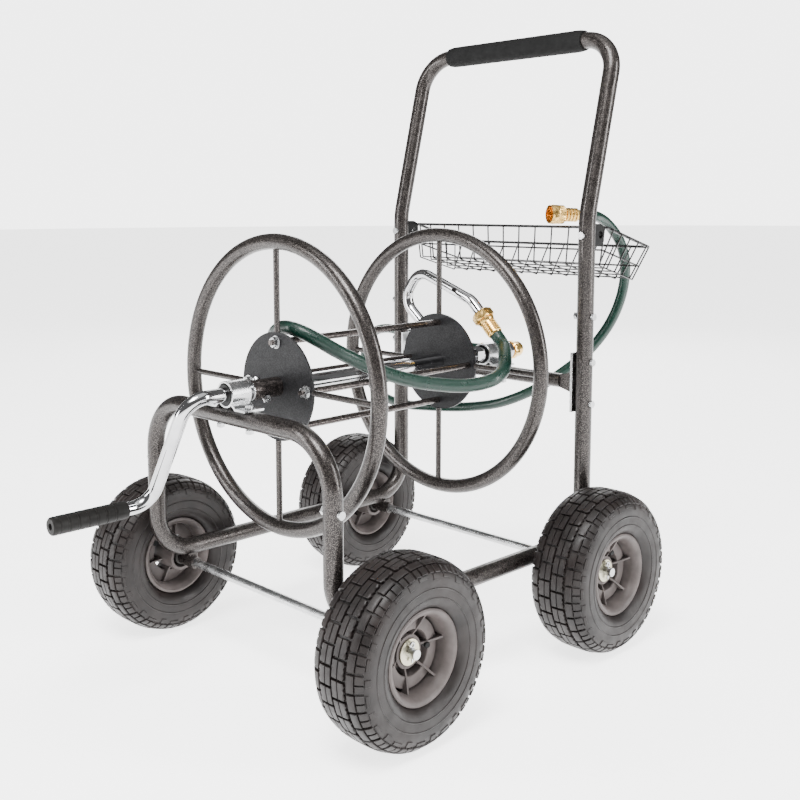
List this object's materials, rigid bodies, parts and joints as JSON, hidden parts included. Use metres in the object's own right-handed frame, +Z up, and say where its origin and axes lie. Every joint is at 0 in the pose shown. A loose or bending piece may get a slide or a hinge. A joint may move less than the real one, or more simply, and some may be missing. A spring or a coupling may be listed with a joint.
{
  "type": "garden hose reel cart",
  "caption": "Wheeled steel hose reel cart with a cranked open-ring drum, swivel gooseneck outlet, leader hose, rear tool basket and tall loop handle.",
  "frame": {"origin": "on the ground plane, midway between the axles and midway between the side frames", "axes": "+Z up, +X from the crank towards the handle and basket, +Y across the cart towards the leader hose loop"},
  "size_m": [0.9518, 0.6582, 0.9279],
  "materials": {
    "hammertone": "dark grey-brown hammertone enamel with a fine metallic fleck",
    "charcoal": "charcoal textured powder coat",
    "rod_bronze": "smooth brown-grey metallic enamel",
    "zinc": "bright zinc plate, slightly dull",
    "washer_zinc": "yellow-passivated zinc plate",
    "chrome": "bright chrome plate",
    "brass": "bright machined brass",
    "hose_green": "deep green reinforced hose with a faint braid",
    "leader_green": "deep green smooth hose",
    "foam": "matt black foam sleeve",
    "grip_black": "black ribbed plastic grip",
    "clip_black": "black moulded nylon",
    "wire_dark": "dark enamelled steel wire",
    "tyre": "matt brown-black rubber with a blocky tread",
    "rim_grey": "grey-taupe moulded plastic",
    "bush_grey": "grey nylon"
  },
  "bodies": {
    "frame": {"front_arch": "hammertone", "side_frame_left": "hammertone", "side_frame_right": "hammertone", "handle_tube": "hammertone", "handle_grip": "foam", "arch_bolts": "zinc", "handle_bolts": "zinc", "rear_crossbar": "hammertone", "crossbar_brackets": "zinc", "bracket_bolts": "zinc", "axle_sleeves": "hammertone", "front_axle": "zinc", "rear_axle": "zinc", "axle_washers": "washer_zinc", "cotter_pins": "zinc", "front_bearing_strap": "zinc", "front_bearing_bush": "clip_black", "rear_bearing_strap": "zinc", "rear_bearing_bush": "clip_black", "strap_screws": "zinc", "basket": "wire_dark", "basket_clips": "clip_black", "basket_bolts": "zinc", "swivel_body": "chrome", "inlet_plug": "brass", "leader_hose": "leader_green", "leader_tail": "brass"},
    "reel": {"front_ring": "hammertone", "rear_ring": "hammertone", "front_disc": "charcoal", "rear_disc": "charcoal", "core_tube": "chrome", "tie_rods": "rod_bronze", "tie_rod_nuts": "zinc", "hub_tube": "rod_bronze", "crank_arm": "chrome", "crank_bolt": "zinc", "snap_ring": "zinc", "grip_screw": "zinc", "swivel_rotor": "chrome", "swivel_nut": "chrome", "gooseneck": "chrome", "outlet_nut": "brass", "outlet_ferrule": "brass", "drum_hose": "hose_green", "drum_hose_end": "brass"},
    "grip": {"crank_grip": "grip_black"},
    "tap_nut": {"leader_nut": "brass"},
    "wheel_front_left": {"tyre_front_left": "tyre", "rim_front_left": "rim_grey", "bush_front_left": "bush_grey"},
    "wheel_front_right": {"tyre_front_right": "tyre", "rim_front_right": "rim_grey", "bush_front_right": "bush_grey"},
    "wheel_rear_left": {"tyre_rear_left": "tyre", "rim_rear_left": "rim_grey", "bush_rear_left": "bush_grey"},
    "wheel_rear_right": {"tyre_rear_right": "tyre", "rim_rear_right": "rim_grey", "bush_rear_right": "bush_grey"}
  },
  "joints": [
    {"name": "reel_spin", "type": "hinge", "parent": "frame", "child": "reel", "pos_m": [0, 0, 0.412], "axis": [1, 0, 0], "continuous": true},
    {"name": "grip_spin", "type": "hinge", "parent": "reel", "child": "grip", "pos_m": [-0.348, 0.08075, 0.26013], "axis": [1, 0, 0], "continuous": true},
    {"name": "tap_nut_spin", "type": "hinge", "parent": "frame", "child": "tap_nut", "pos_m": [0.28921, -0.10933, 0.64256], "axis": [-0.8859, 0.4622, 0.0385], "continuous": true},
    {"name": "wheel_front_left_spin", "type": "hinge", "parent": "frame", "child": "wheel_front_left", "pos_m": [-0.209, -0.26, 0.12], "axis": [0, 1, 0], "continuous": true},
    {"name": "wheel_front_right_spin", "type": "hinge", "parent": "frame", "child": "wheel_front_right", "pos_m": [-0.209, 0.26, 0.12], "axis": [0, 1, 0], "continuous": true},
    {"name": "wheel_rear_left_spin", "type": "hinge", "parent": "frame", "child": "wheel_rear_left", "pos_m": [0.209, -0.26, 0.12], "axis": [0, 1, 0], "continuous": true},
    {"name": "wheel_rear_right_spin", "type": "hinge", "parent": "frame", "child": "wheel_rear_right", "pos_m": [0.209, 0.26, 0.12], "axis": [0, 1, 0], "continuous": true}
  ]
}
